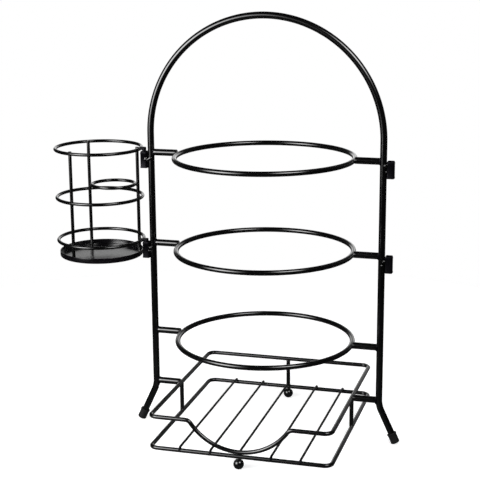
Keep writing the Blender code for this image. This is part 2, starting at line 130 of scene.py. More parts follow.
# The coat makes a grid wire look this thick. Its ends are pressed down over the frame, at these distances in
# millimetres beyond the frame's axis and down from the wire's height. The middle wire ends under the dip, so it
# stays straight, and its spot welds sit at a share of the frame's half depth.
GRID_COATED_R = 1.38 * MM
GRID_FRONT_END = ((-1.6, 0.0), (-0.4, 0.25), (0.6, 0.7), (1.5, 1.4), (2.2, 2.3), (2.5, 3.2))
GRID_BACK_END = ((-1.6, 0.0), (-0.6, 0.2), (0.2, 0.6), (0.8, 1.1), (1.2, 1.6))
STRAIGHT_WIRE = 3
STRAIGHT_SPOT = 0.985

# Ball feet: the angle at which the neck starts, and the neck's radii and heights from the ball's top
BALL_NECK_START = math.radians(66)
BALL_NECK = ((2.45 * MM, -0.30 * MM), (2.40 * MM, 0.5 * MM))
BALL_WELD_R = 2.3 * MM

# Pockets: round of the cut edges, how far the inner face sits in the gap to the leg, the wall's faint recess as
# depth and height, and how far the mouth draws in
POCKET_EDGE = 0.4 * MM
POCKET_SINK = 0.2 * MM
POCKET_RECESS = ((0.0, 0.9 * MM), (0.28 * MM, 1.9 * MM),
                 (0.28 * MM, POCKET_HEIGHT - 3.3 * MM), (0.0, POCKET_HEIGHT - 2.7 * MM))
POCKET_DRAW_IN = 0.60 * MM

# Pan: shares of the radius at which its bottom has rings of points
PAN_RINGS = (0.0, 0.3, 0.6, 0.85)

# Hooks: start beyond the ring's axis, outer and inner bend, corners at the tip, and round of the edges
HOOK_START = 1.0 * MM
HOOK_BEND_R = 0.9 * MM
HOOK_INNER_R = 0.6 * MM
HOOK_TIP = 0.4 * MM
HOOK_EDGE = 0.35 * MM

# Welds round a bar's end: how far the toes reach along the wire, and up the bar
LEG_WELD = {"spread": 1.25 * MM, "reach": 0.45 * MM}
RING_WELD = {"spread": 0.55 * MM, "reach": 0.35 * MM}
RISER_WELD = {"spread": 0.6 * MM, "reach": 0.5 * MM}
BALL_WELD = {"spread": 0.5 * MM, "reach": 0.2 * MM}
# The toes reach round a wire to this share of its radius
WELD_SIDE = 0.74
# Shares along a weld's section at which it has points
WELD_SECTION = (0.0, 0.15, 0.3, 0.45, 0.6, 0.75, 0.9, 1.0)

# Bars end in their welds, at these shares of the radius of the wire or rod that they meet
STUB_RING_END = 0.78
STUB_LEG_END = 0.90
RISER_END = 0.88
GRID_END = 0.6

# Flanks, the welds in the corners beside a stub's leg end: back from the leg's axis, out and down from the stub's
FLANK_BACK, FLANK_OUT, FLANK_DOWN = 3.4 * MM, 2.6 * MM, 0.2 * MM
FLANK_R, FLANK_HALF_HEIGHT = 1.65 * MM, 3.9 * MM

# Spot welds: half sizes along X, Y and Z
GRID_SPOT = (1.7 * MM, 1.4 * MM, 0.9 * MM)
GRID_SPOT_DOWN = GRID_WIRE_R * 0.75
UPRIGHT_SPOT = (1.1 * MM, 1.9 * MM, 1.7 * MM)
DIVIDER_SPOT = (1.1 * MM, 1.8 * MM, 1.6 * MM)
HOOK_SPOT = (1.2 * MM, 1.2 * MM, 1.2 * MM)
# Place of a hook's two spot welds: beyond the ring's axis, to each side, and up
HOOK_SPOT_OUT, HOOK_SPOT_SIDE, HOOK_SPOT_UP = 1.5 * MM, 3.2 * MM, 0.8 * MM

# Weld runs between a leg and its pocket, in millimetres: half thickness, then places as outwards from the leg's
# axis, forwards, and upwards from the pocket's top
WELD_RUNS = {
    "left_upper": (
        (1.90, ((-2.4, 4.1, -7.2), (-0.2, 4.1, -7.9), (1.9, 4.2, -9.2), (3.9, 4.6, -10.2), (4.9, 4.9, -10.3))),
        (1.90, ((6.1, 5.7, -10.6), (5.6, 5.3, -8.6), (4.7, 4.8, -6.4)))),
    "left_lower": (
        (2.20, ((0.2, 4.1, -6.0), (2.2, 4.1, -7.2), (4.6, 4.7, -7.8))),
        (1.20, ((4.9, 4.9, -11.5), (3.8, 4.7, -10.8), (2.8, 4.4, -11.4), (0.6, 4.1, -12.4)))),
    "right_upper": (
        (2.20, ((1.4, 4.1, -5.9), (3.2, 4.3, -5.0), (5.2, 5.0, -3.4))),
        (1.20, ((3.0, 4.2, -12.7), (4.0, 4.6, -12.3), (5.0, 5.0, -11.9)))),
    "right_lower": (
        (1.90, ((1.9, 4.1, -7.4), (3.2, 4.4, -6.5), (4.8, 4.9, -5.3))),
        (1.35, ((-0.2, 4.1, -12.3), (1.4, 4.1, -11.2), (2.8, 4.2, -10.8)))),
}
# A weld run's squash along X, Y and Z: it lies low on the faces that look forwards and backwards
WELD_RUN_SQUASH = np.array([1.0, 0.44, 1.0])

# The photograph's camera. It was solved with places counted from the pixels' middles, hence the half pixel.
CAMERA_PLACE = (0.42120, -1.39833, 0.59570)
CAMERA_TURN = (1.33030, 0.00780, 0.27860)
CAMERA_LENS = 94.370
SENSOR_WIDTH = 36.0
HALF_PIXEL = 0.5 / 480

# World, where 1 is white: its light on the object, and what reflections see in front of the stand and behind it.
# The last is reached where the direction's Y is GLOSSY_BACK_Y.
AMBIENT = 0.20
GLOSSY_FRONT = 0.006
GLOSSY_BACK = 0.03
GLOSSY_BACK_Y = 0.8

# Table top: its colour, the glow that only the camera sees, and how white reflections see it below the stand and
# away from it, at these distances
TABLE_RADIUS = 0.75
TABLE_COLOUR = (0.80, 0.80, 0.80, 1.0)
TABLE_ROUGHNESS = 0.9
TABLE_LIFT = 0.70
TABLE_NEAR, TABLE_NEAR_REACH = 0.09, 0.12
TABLE_FAR, TABLE_FAR_REACH = 0.02, 0.45


# Paths

def arc(centre, radius, start, end, step):
    """Points on a circle in a plane, from one angle to another, both ends included."""
    count = max(2, math.ceil(abs(end - start) / step))
    angles = [start + (end - start) * i / count for i in range(count + 1)]
    return [(centre[0] + radius * math.cos(a), centre[1] + radius * math.sin(a)) for a in angles]


def rounded(corner, before, after, radius, step):
    """The arc that rounds one corner of a flat path."""
    corner, before, after = Vector(corner), Vector(before), Vector(after)
    inward = (before - corner).normalized()
    outward = (after - corner).normalized()
    half = inward.angle(outward) / 2
    centre = corner + (inward + outward).normalized() * radius / math.sin(half)
    first = corner + inward * radius / math.tan(half) - centre
    last = corner + outward * radius / math.tan(half) - centre
    start = math.atan2(first.y, first.x)
    sweep = math.remainder(math.atan2(last.y, last.x) - start, math.tau)
    return arc(centre, radius, start, start + sweep, step)


def circle_path(centre, radius, steps):
    """Points on a level circle."""
    angles = [math.tau * i / steps for i in range(steps)]
    return [(centre[0] + radius * math.cos(a), centre[1] + radius * math.sin(a), centre[2]) for a in angles]


def spaced(points, longest):
    """The path with points added on its long straight stretches."""
    out = []
    for first, last in zip(points, points[1:]):
        first, last = Vector(first), Vector(last)
        count = max(1, math.ceil((last - first).length / longest))
        out += [tuple(first.lerp(last, i / count)) for i in range(count)]
    return [*out, tuple(points[-1])]


# Shells: each is a list of points and a list of faces

def band(rings, closed=False):
    """An open skin over a row of equal rings, or one that runs round to the first ring."""
    sides, rows = len(rings[0]), len(rings)
    points = [tuple(point) for ring in rings for point in ring]
    faces = []
    for row in range(rows if closed else rows - 1):
        low, high = row * sides, (row + 1) % rows * sides
        for i in range(sides):
            j = (i + 1) % sides
            faces.append((low + i, low + j, high + j, high + i))
    return points, faces


def loft(rings, poles=None):
    """A skin over a row of equal rings. Each end closes to a pole, or else to its ring's middle."""
    points, faces = band(rings)
    sides = len(rings[0])
    starts = (0, len(points) - sides)
    poles = poles or [np.mean(points[start:start + sides], axis=0) for start in starts]
    for start, pole in zip(starts, poles):
        points.append(tuple(pole))
        faces += [(start + i, start + (i + 1) % sides, len(points) - 1) for i in range(sides)]
    return points, faces


def normals_along(path, closed):
    """Two normals at each point of a path, carried along it without twist."""
    if closed:
        tangents = np.roll(path, -1, axis=0) - np.roll(path, 1, axis=0)
    else:
        tangents = np.gradient(path, axis=0)
    tangents /= np.linalg.norm(tangents, axis=1)[:, None]
    seed = np.eye(3)[np.argmin(np.abs(tangents[0]))]
    normal = seed - tangents[0] * (seed @ tangents[0])
    normals = [normal / np.linalg.norm(normal)]
    for tangent in tangents[1:]:
        normal = normals[-1] - tangent * (normals[-1] @ tangent)
        normals.append(normal / np.linalg.norm(normal))
    normals = np.array(normals)
    if closed:
        # Spread what is left of a turn over the whole loop
        end = normals[-1] - tangents[0] * (normals[-1] @ tangents[0])
        end /= np.linalg.norm(end)
        side = np.cross(tangents[0], normals[0])
        twist = math.atan2(end @ side, end @ normals[0])
        turn = -twist * np.arange(len(path)) / len(path)
        normals = normals * np.cos(turn)[:, None] + np.cross(tangents, normals) * np.sin(turn)[:, None]
    return normals, np.cross(tangents, normals)


def swept(path, radii, sides, closed=False, squash=np.ones(3)):
    """A round section swept along a path."""
    angles = np.arange(sides) * math.tau / sides
    rings = [place + size * squash * (np.cos(angles)[:, None] * normal + np.sin(angles)[:, None] * binormal)
             for place, size, normal, binormal in zip(path, radii, *normals_along(path, closed))]
    return band(rings, closed=True) if closed else loft(rings)


def tube(points, radius, sides, closed=False, end_round=0.0):
    """A round wire along a path, its open ends rounded off."""
    path = np.array(points, float)
    radii = np.full(len(path), radius)
    if end_round:
        quarter = np.radians([90, 67.5, 45, 22.5, 0])
        for _ in range(2):
            inward = path[1] - path[0]
            inward /= np.linalg.norm(inward)
            ends = path[0] + inward * (end_round * (1 - np.sin(quarter)))[:, None]
            path = np.vstack([ends, path[1:]])
            radii = np.concatenate([radius - end_round * (1 - np.cos(quarter)), radii[1:]])
            path, radii = path[::-1], radii[::-1]
    return swept(path, radii, sides, closed)


def turned(profile, steps, centre=(0, 0, 0)):
    """A turned shape about Z. The profile's first and last points are on the axis."""
    angles = np.arange(steps) * math.tau / steps
    rings = [np.column_stack([radius * np.cos(angles), radius * np.sin(angles), np.full(steps, height)])
             for radius, height in profile[1:-1]]
    points, faces = loft(rings, [(0, 0, profile[0][1]), (0, 0, profile[-1][1])])
    return [tuple(np.add(point, centre)) for point in points], faces


def moved(shell, matrix):
    """The shell at another place."""
    points, faces = shell
    return [tuple(matrix @ Vector(point)) for point in points], faces


# Welds

def collar(wire_centre, bar_axis, wire_axis, wire_radius, bar_radius, spread, reach, seed, shift=0.0, heavy=0.0):
    """A weld run round the end of a bar that is seated on a wire.

    The bar's axis passes the wire's at the shift. The weld's toes lie on both. It is heavier towards one angle,
    and it has the ripples of a hand-made weld.
    """
    sides, ripples = 56, 13
    uneven, wave_scale = 0.45, 2.5
    sunk, belly, ripple_height, wave_height = 0.1 * MM, 0.30 * MM, 0.10 * MM, 0.12 * MM
    # Shares of a radius: the corner's height, and the hidden inside's distance from the axis and its foot
    corner_share, core_share, foot_share = 0.98, 0.6, 0.5
    core_top = 0.3 * MM
    along, axis = np.array(bar_axis, float), np.array(wire_axis, float)
    across = np.cross(axis, along)
    origin = np.array(wire_centre, float)
    base = origin + across * shift
    side_limit = WELD_SIDE * wire_radius
    inner = min(bar_radius, side_limit) * core_share
    rings = []
    for i in range(sides):
        angle = math.tau * i / sides
        wave = noise.noise(Vector((wave_scale * math.cos(angle), wave_scale * math.sin(angle), seed)))
        weight = 1 + uneven * wave + uneven * math.cos(angle - heavy)
        toe = bar_radius + spread * weight
        step_out = max(-side_limit, min(side_limit, toe * math.cos(angle) + shift))
        on_wire = (origin + across * step_out + axis * toe * math.sin(angle)
                   + along * (math.sqrt(wire_radius ** 2 - step_out ** 2) - sunk))
        radial = across * math.cos(angle) + axis * math.sin(angle)
        run = wire_radius + reach * weight
        on_bar = base + radial * (bar_radius - sunk) + along * run
        ripple = ripple_height * math.sin(angle * ripples + seed) + wave_height * wave
        corner = base + radial * (bar_radius + belly + ripple) + along * wire_radius * corner_share
        section = [on_wire * (1 - t) ** 2 + corner * 2 * t * (1 - t) + on_bar * t ** 2 for t in WELD_SECTION]
        section.append(base + radial * inner + along * (run - core_top))
        section.append(base + radial * inner + along * wire_radius * foot_share)
        rings.append(section)
    return band(rings, closed=True)


def lump(centre, size, seed):
    """A small uneven weld bead."""
    rows, steps = 14, 24
    rough, rough_scale, ripple, ripples = 0.12, 2.2, 0.05, 9
    centre = Vector(centre)
    rings = []
    for row in range(1, rows):
        up = math.pi * row / rows
        ring = []
        for i in range(steps):
            turn = math.tau * i / steps
            way = Vector((math.sin(up) * math.cos(turn), math.sin(up) * math.sin(turn), math.cos(up)))
            swell = 1 + rough * noise.noise(way * rough_scale + Vector((seed, 0, 0)))
            swell += ripple * math.sin(way.x * ripples + seed)
            ring.append(Vector((way.x * size[0], way.y * size[1], way.z * size[2])) * swell + centre)
        rings.append(ring)
    return loft(rings, [centre + Vector((0, 0, sign * size[2])) for sign in (1, -1)])


def weld_run(places, radius, seed):
    """A short run of weld laid along a smooth path through places: low, uneven and rippled, with round ends."""
    sides, step, thinnest = 20, 0.125, 0.12
    rough, rough_scale, ripple, ripples = 0.25, 3.0, 0.06, 14.0
    places = np.array(places, float)
    padded = np.vstack([2 * places[0] - places[1], places, 2 * places[-1] - places[-2]])
    path = []
    for before, start, end, after in zip(padded, padded[1:], padded[2:], padded[3:]):
        for t in np.arange(0.0, 1.0, step):
            path.append(0.5 * (2 * start + (end - before) * t + (2 * before - 5 * start + 4 * end - after) * t ** 2
                               + (3 * start - before - 3 * end + after) * t ** 3))
    path = np.array([*path, places[-1]])
    share = np.linspace(-1.0, 1.0, len(path))
    swell = [1 + rough * noise.noise(Vector((seed, rough_scale * s, 0.0))) + ripple * math.cos(ripples * s + seed)
             for s in share]
    radii = radius * np.maximum(thinnest, (1 - np.abs(share) ** 3.5) ** 0.6) * swell
    return swept(path, radii, sides, squash=WELD_RUN_SQUASH)


def flank(centre, radius, half_height, seed):
    """A weld that fills the corner at one side of a bar's end: upright and nearly straight-sided."""
    rows, steps, rough, rough_scale = 17, 24, 0.10, 3.0
    profile = []
    for z in np.sin(np.radians(np.linspace(-90, 90, rows))):
        wave = 1 + rough * noise.noise(Vector((seed, rough_scale * z, 0.0)))
        profile.append((radius * wave * math.sqrt(max(0.0, 1 - z ** 4)), z * half_height))
    return turned(profile, steps, centre)


# Node trees

def fill(tree, node, sockets):
    """Give a node's input sockets their values, or link them to another node's output."""
    for name, value in sockets.items():
        if isinstance(value, bpy.types.NodeSocket):
            tree.links.new(value, node.inputs[name])
        else:
            node.inputs[name].default_value = value


def add_node(tree, kind, sockets=None, **settings):
    """A new node with its settings, and with its input sockets filled."""
    node = tree.nodes.new(kind)
    for name, value in settings.items():
        setattr(node, name, value)
    fill(tree, node, sockets or {})
    return node


def maths(tree, operation, *values):
    """The output of a Math node."""
    return add_node(tree, "ShaderNodeMath", dict(enumerate(values)), operation=operation).outputs["Value"]


def ranged(tree, value, old, new, smooth=True):
    """The value taken from its old range to a new one."""
    sockets = {"Value": value, "From Min": old[0], "From Max": old[1], "To Min": new[0], "To Max": new[1]}
    interpolation = "SMOOTHSTEP" if smooth else "LINEAR"
    return add_node(tree, "ShaderNodeMapRange", sockets, interpolation_type=interpolation).outputs["Result"]


# Materials

# Noise over the coat, as scale and detail: slow changes, orange peel and grit. The slow one darkens and lightens the
# colour at these places of its range, by these factors, and changes the roughness either way.
COAT_FIELDS = ((34.0, 3.0), (820.0, 2.0), (4200.0, 1.0))
COAT_SHADES = ((0.32, 0.78), (0.70, 1.25))
COAT_RANGE = (0.3, 0.7)
COAT_GLOSS = 0.03
# Share of the grit in the coat's height, and how high it is
COAT_GRIT = 0.25
COAT_HEIGHT = 0.15 * MM


def coated(name, colour, roughness, specular, coat, coat_roughness, peel, gloss_tint=(1.0, 1.0, 1.0)):
    """Powder coat: an uneven skin like orange peel, with slow changes of shade and gloss."""
    material = bpy.data.materials.new(name)
    material.use_nodes = True
    tree = material.node_tree
    place = add_node(tree, "ShaderNodeTexCoord").outputs["Object"]
    slow, orange_peel, grit = [
        add_node(tree, "ShaderNodeTexNoise", {"Vector": place, "Scale": scale, "Detail": detail}).outputs["Fac"]
        for scale, detail in COAT_FIELDS]
    ramp = add_node(tree, "ShaderNodeValToRGB", {"Fac": slow})
    for element, (position, shade) in zip(ramp.color_ramp.elements, COAT_SHADES):
        element.position = position
        element.color = (*[c * shade for c in colour], 1.0)
    gloss = ranged(tree, slow, COAT_RANGE, (roughness - COAT_GLOSS, roughness + COAT_GLOSS), smooth=False)
    height = maths(tree, "MULTIPLY_ADD", grit, COAT_GRIT, orange_peel)
    bump = add_node(tree, "ShaderNodeBump", {"Strength": peel, "Distance": COAT_HEIGHT, "Height": height})
    fill(tree, tree.nodes["Principled BSDF"], {
        "Base Color": ramp.outputs["Color"],
        "Roughness": gloss,
        "Normal": bump.outputs["Normal"],
        "Specular IOR Level": specular,
        "Specular Tint": (*gloss_tint, 1.0),
        "Coat Weight": coat,
        "Coat Roughness": coat_roughness,
    })
    return material


STEEL = coated("black_coated_steel", (0.0015, 0.0015, 0.0016), roughness=0.19, specular=0.5,
               coat=1.00, coat_roughness=0.10, peel=0.006)
SHEET = coated("black_coated_sheet", (0.0018, 0.0016, 0.0024), roughness=0.40, specular=0.12,
               coat=0.0, coat_roughness=0.12, peel=0.012, gloss_tint=(0.90, 0.88, 1.0))
PAN_SHEET = coated("black_lacquered_sheet", (0.0034, 0.0029, 0.0040), roughness=0.20, specular=0.3,
                   coat=1.00, coat_roughness=0.14, peel=0.012)
RUBBER = coated("black_rubber", (0.0085, 0.0085, 0.0090), roughness=0.60, specular=0.40,
                coat=0.0, coat_roughness=0.3, peel=0.20)
FINISH = {"coated_steel": STEEL, "coated_sheet": SHEET, "rubber": RUBBER}


def piece(node, shells, slot, body="stand", crease=40.0, finish=None, welds=(), weld_finish=STEEL):
    """One piece of several closed shells that stands for a CAD node."""
    points, faces = [], []
    plain_faces = sum(len(shell_faces) for _, shell_faces in shells)
    for shell_points, shell_faces in [*shells, *welds]:
        start = len(points)
        points += shell_points
        faces += [tuple(start + i for i in face) for face in shell_faces]
    mesh = bpy.data.meshes.new(node)
    mesh.from_pydata(points, [], faces)
    bm = bmesh.new()
    bm.from_mesh(mesh)
    bmesh.ops.recalc_face_normals(bm, faces=bm.faces)
    bm.to_mesh(mesh)
    bm.free()
    mesh.shade_smooth()
    mesh.set_sharp_from_angle(angle=math.radians(crease))
    mesh.materials.append(finish or FINISH[slot])
    if welds:
        mesh.materials.append(weld_finish)
        for face in mesh.polygons[plain_faces:]:
            face.material_index = 1
    thing = bpy.data.objects.new(f"{node}_fine", mesh)
    bpy.context.scene.collection.objects.link(thing)
    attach(thing, body)
    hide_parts(node)


# Frame rod and its caps

def build_rod():
    tip = (FOOT_X - (CAP_SOLE + SEAT) * math.sin(KICK), SOLE_LIFT + (CAP_SOLE + SEAT) * math.cos(KICK))
    knee, spring = (ARCH_R, KNEE_Z), (ARCH_R, ARCH_Z)
    right_leg = [tip, *rounded(knee, tip, spring, KNEE_R, math.radians(2.5))]
    handle = arc((0, ARCH_Z), ARCH_R, 0, math.pi, math.radians(1.5))
    left_leg = [(-x, z) for x, z in reversed(right_leg)]
    path = spaced([(STAND_X + x, 0, z) for x, z in [*right_leg, *handle, *left_leg]], STRETCH)
    piece("frame_rod", [tube(path, ROD_R, sides=32, end_round=0.6 * MM)], "coated_steel")


def build_caps():
    bore, rim = ROD_R + CAP_SLACK, CAP_R + CAP_RIM_STEP
    hollow = [(CAP_R * share, height) for share, height in CAP_HOLLOW]
    sole = arc((CAP_R - CAP_ROUND, CAP_ROUND), CAP_ROUND, -math.pi / 2, 0, math.radians(15))
    waist = [(CAP_R - depth, height) for depth, height in CAP_WAIST]
    lip = arc((rim - CAP_RIM_ROUND, CAP_LENGTH - CAP_RIM_ROUND), CAP_RIM_ROUND, 0, math.pi * 0.6, math.radians(20))
    profile = [*hollow, *sole, *waist, (rim, CAP_LENGTH - CAP_RIM_HEIGHT), *lip,
               (bore, CAP_LENGTH - CAP_MOUTH), (bore, CAP_SOLE), (0, CAP_SOLE)]
    for name, side in SIDES:
        tilt = Matrix.Translation((STAND_X + side * FOOT_X, 0, SOLE_LIFT)) @ Matrix.Rotation(-side * KICK, 4, "Y")
        piece(f"foot_cap_{name}", [moved(turned(profile, 40), tilt)], "rubber", crease=50.0)


# Plate rings and the stubs that carry them

def build_rings():
    for tier, height in TIER_Z.items():
        path = circle_path((STAND_X, 0, height), RING_R, 192)
        piece(f"plate_ring_{tier}", [tube(path, RING_WIRE_R, sides=24, closed=True)], "coated_steel")


def build_stubs():
    # Level, the stub's height, the place and the radius of the wire at its inner end, and that wire's height above
    # the stub's axis
    levels = [(tier, height + STUB_LIFT, RING_R, RING_WIRE_R, -STUB_LIFT) for tier, height in TIER_Z.items()]
    levels.append(("basket", BASKET_RIM_Z, BASKET_HALF_X, BASKET_WIRE_R, 0.0))
    for number, (level, height, inner, wire_radius, rise) in enumerate(levels):
        for name, side in SIDES:
            seed = 3.1 * number + side
            start = STAND_X + side * (inner + wire_radius * STUB_RING_END)
            end = STAND_X + side * (ARCH_R - ROD_R * STUB_LEG_END)
            path = spaced([(start, 0, height), (end, 0, height)], 4 * MM)
            bar = tube(path, STUB_R, sides=28, end_round=0.5 * MM)
            at_ring = collar((STAND_X + side * inner, 0, height + rise), (side, 0, 0), (0, 1, 0), wire_radius, STUB_R,
                             **RING_WELD, seed=seed + 0.5, shift=rise * side)
            at_leg = collar((STAND_X + side * ARCH_R, 0, height), (-side, 0, 0), (0, 0, 1), ROD_R, STUB_R,
                            **LEG_WELD, seed=seed, heavy=-math.pi / 2)
            flanks = [flank((STAND_X + side * (ARCH_R - FLANK_BACK), face * FLANK_OUT, height - FLANK_DOWN),
                            FLANK_R, FLANK_HALF_HEIGHT, seed + face) for face in (-1, 1)]
            piece(f"stub_{name}_{level}", [bar, at_ring], "coated_steel", welds=[at_leg, *flanks], weld_finish=SHEET)


# Basket

def basket_outline():
    """The basket's frames seen from above."""
    signs = ((1, -1), (1, 1), (-1, 1), (-1, -1))
    corners = [(x * BASKET_HALF_X, y * BASKET_HALF_Y) for x, y in signs]
    points = []
    for i in range(4):
        points += rounded(corners[i], corners[i - 1], corners[(i + 1) % 4], BASKET_CORNER_R, math.radians(5))
    return [(STAND_X + x, y) for x, y in points]


def dip_path():
    """The dip in the upper frame's front, from its left shoulder down to the lower frame and up to its right one."""
    bowl_z = FLOOR_FRAME_Z + 2 * BASKET_WIRE_R + SEAT + DIP_R
    shoulder_z = BASKET_RIM_Z - DIP_SHOULDER_R
    reach = DIP_R + DIP_SHOULDER_R
    shoulder_x = math.sqrt(reach ** 2 - (bowl_z - shoulder_z) ** 2)
    lean = math.atan2(bowl_z - shoulder_z, shoulder_x)
    left = arc((-shoulder_x, shoulder_z), DIP_SHOULDER_R, math.pi / 2, lean, math.radians(5))
    bowl = arc((0, bowl_z), DIP_R, math.pi + lean, math.tau - lean, math.radians(2))
    right = [(-x, z) for x, z in reversed(left)]
    return [(STAND_X + x, -BASKET_HALF_Y, z) for x, z in [*left, *bowl[1:-1], *right]]


def build_basket_frames():
    floor = [(x, y, FLOOR_FRAME_Z) for x, y in basket_outline()]
    rim = [*dip_path(), *[(x, y, BASKET_RIM_Z) for x, y in basket_outline()]]
    for name, points in (("lower", floor), ("upper", rim)):
        path = spaced([*points, points[0]], STRETCH)[:-1]
        piece(f"basket_{name}_frame", [tube(path, BASKET_WIRE_R, sides=20, closed=True)], "coated_steel")


def build_grid():
    stop = BASKET_HALF_Y - BASKET_WIRE_R * GRID_END
    straight = [(-stop, GRID_Z), (stop, GRID_Z)]
    front = [(-BASKET_HALF_Y - out * MM, GRID_Z - down * MM) for out, down in reversed(GRID_FRONT_END)]
    back = [(BASKET_HALF_Y + out * MM, GRID_Z - down * MM) for out, down in GRID_BACK_END]
    for number, x in enumerate(GRID_X, start=1):
        line, spot_place = (straight, STRAIGHT_SPOT) if number == STRAIGHT_WIRE else ([*front, *back], 1.0)
        path = spaced([(x, y, z) for y, z in line], STRETCH)
        wire = tube(path, GRID_COATED_R, sides=16, end_round=0.35 * MM)
        # Spot welds where the thin wire crosses the frame
        spots = [lump((x, side * BASKET_HALF_Y * spot_place, GRID_Z - GRID_SPOT_DOWN), GRID_SPOT,
                      number + side * 0.3) for side in (-1, 1)]
        piece(f"basket_grid_wire_{number}", [wire, *spots], "coated_steel", finish=SHEET)


def build_risers():
    posts = {"left": (-BASKET_HALF_X, 0, (0, 1, 0)),
             "right": (BASKET_HALF_X, 0, (0, 1, 0)),
             "back": (0, BASKET_HALF_Y, (1, 0, 0))}
    seat = BASKET_WIRE_R * RISER_END
    for number, (name, (x, y, rail)) in enumerate(posts.items()):
        x += STAND_X
        path = spaced([(x, y, FLOOR_FRAME_Z + seat), (x, y, BASKET_RIM_Z - seat)], 5 * MM)
        shells = [tube(path, BASKET_WIRE_R, sides=20)]
        for height, way, seed in ((FLOOR_FRAME_Z, 1, 11.0), (BASKET_RIM_Z, -1, 14.0)):
            shells.append(collar((x, y, height), (0, 0, way), rail, BASKET_WIRE_R, BASKET_WIRE_R,
                                 **RISER_WELD, seed=number + seed))
        piece(f"basket_riser_{name}", shells, "coated_steel")


def build_balls():
    low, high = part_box("ball_foot_front")
    width = (high.y - low.y) / 2 / BALL_R
    ball = arc((0, BALL_R), BALL_R, -math.pi / 2, BALL_NECK_START, math.radians(6))
    neck = [(radius, 2 * BALL_R + height) for radius, height in BALL_NECK]
    profile = [(0, 0), *[(x * width, z) for x, z in ball[1:]], *neck, (0, neck[-1][1])]
    for number, (name, side) in enumerate((("front", -1), ("back", 1))):
        y = side * BASKET_HALF_Y
        weld = collar((STAND_X, y, FLOOR_FRAME_Z), (0, 0, -1), (1, 0, 0), BASKET_WIRE_R, BALL_WELD_R,
                      **BALL_WELD, seed=number + 21.0)
        piece(f"ball_foot_{name}", [turned(profile, 48, (STAND_X, y, 0)), weld], "coated_steel")


# Pockets

def rounded_rectangle(low_x, high_x, half_depth, radius, height):
    """A level rectangle with round corners."""
    corners = [(low_x, -half_depth), (high_x, -half_depth), (high_x, half_depth), (low_x, half_depth)]
    centre_x = (low_x + high_x) / 2
    points = []
    for i, (x, y) in enumerate(corners):
        angle = math.pi * (1 + i / 2)
        centre = (x + math.copysign(radius, centre_x - x), y - math.copysign(radius, y))
        points += arc(centre, radius, angle, angle + math.pi / 2, math.radians(15))
    return [(x, y, height) for x, y in points]


def pocket_shell():
    """An open rectangular tube that stands on its lower end, its inner face at X = 0, with its cut edges rounded."""
    half = POCKET_DEPTH / 2

    def outer(inset, height):
        return rounded_rectangle(inset, POCKET_OUT - inset, half - inset, POCKET_CORNER_R - inset, height)

    def inner(inset, height):
        wall = POCKET_WALL - inset
        return rounded_rectangle(wall, POCKET_OUT - wall, half - wall, POCKET_CORNER_R - wall, height)

    cuts = [(POCKET_EDGE * (1 - math.cos(a)), POCKET_EDGE * (1 - math.sin(a)))
            for a in map(math.radians, (0, 30, 60, 90))]
    rings = [outer(inset, cut) for inset, cut in reversed(cuts)]
    rings += [outer(depth, height) for depth, height in POCKET_RECESS]
    rings += [outer(POCKET_DRAW_IN + inset, POCKET_HEIGHT - cut) for inset, cut in cuts]
    rings += [inner(inset, POCKET_HEIGHT - cut) for inset, cut in reversed(cuts)]
    rings += [inner(inset, cut) for inset, cut in cuts]
    return band(rings, closed=True)


def build_pockets():
    inner_x = ARCH_R + ROD_R + SEAT - POCKET_SINK
    for level in ("upper", "lower"):
        for name, side in SIDES:
            node = f"pocket_{name}_{level}"
            low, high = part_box(node)
            turn = math.pi if side < 0 else 0.0
            place = Matrix.Translation((STAND_X + side * inner_x, 0, low.z)) @ Matrix.Rotation(turn, 4, "Z")
            welds = []
            for face in (-1, 1):
                for number, (radius, run) in enumerate(WELD_RUNS[f"{name}_{level}"]):
                    places = [(STAND_X + side * (ARCH_R + out * MM), face * forward * MM, high.z + up * MM)
                              for out, forward, up in run]
                    welds.append(weld_run(places, radius * MM, 3.7 * number + low.z * 50 + side + 0.4 * face))
            piece(node, [moved(pocket_shell(), place)], "coated_sheet", welds=welds)


# Cup

def cup_spot(angle, distance, height, size, seed):
    """A spot weld at an angle round the cup's axis and a distance from it."""
    place = (CUP_X + distance * math.cos(angle), distance * math.sin(angle), height)
    return moved(lump((0, 0, 0), size, seed), Matrix.Translation(place) @ Matrix.Rotation(angle, 4, "Z"))


def build_cup_wires():
    for level, height in CUP_RING_Z.items():
        path = circle_path((CUP_X, 0, height), CUP_RING_R, 144)
        piece(f"cup_ring_{level}", [tube(path, CUP_WIRE_R, sides=20, closed=True)], "coated_steel", "cup")
    reach = CUP_RING_R - 2 * CUP_WIRE_R - SEAT
    for i, name in enumerate(("right", "back", "front")):
        low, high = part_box(f"cup_upright_{name}")
        angle = UPRIGHT_START + math.tau * i / 3
        x, y = CUP_X + reach * math.cos(angle), reach * math.sin(angle)
        path = spaced([(x, y, low.z - SEAT), (x, y, high.z)], 10 * MM)
        wire = tube(path, CUP_WIRE_R, sides=20, end_round=0.5 * MM)
        spots = [cup_spot(angle, reach + CUP_WIRE_R, height, UPRIGHT_SPOT, number + i * 3.0)
                 for number, height in enumerate(CUP_RING_Z.values())]
        piece(f"cup_upright_{name}", [wire, *spots], "coated_steel", "cup")
    ring = tube(circle_path(tuple(DIVIDER), DIVIDER_R, 96), CUP_WIRE_R, sides=20, closed=True)
    spot = cup_spot(UPRIGHT_START, reach - CUP_WIRE_R, DIVIDER.z, DIVIDER_SPOT, 31.0)
    piece("cup_divider_ring", [ring, spot], "coated_steel", "cup")


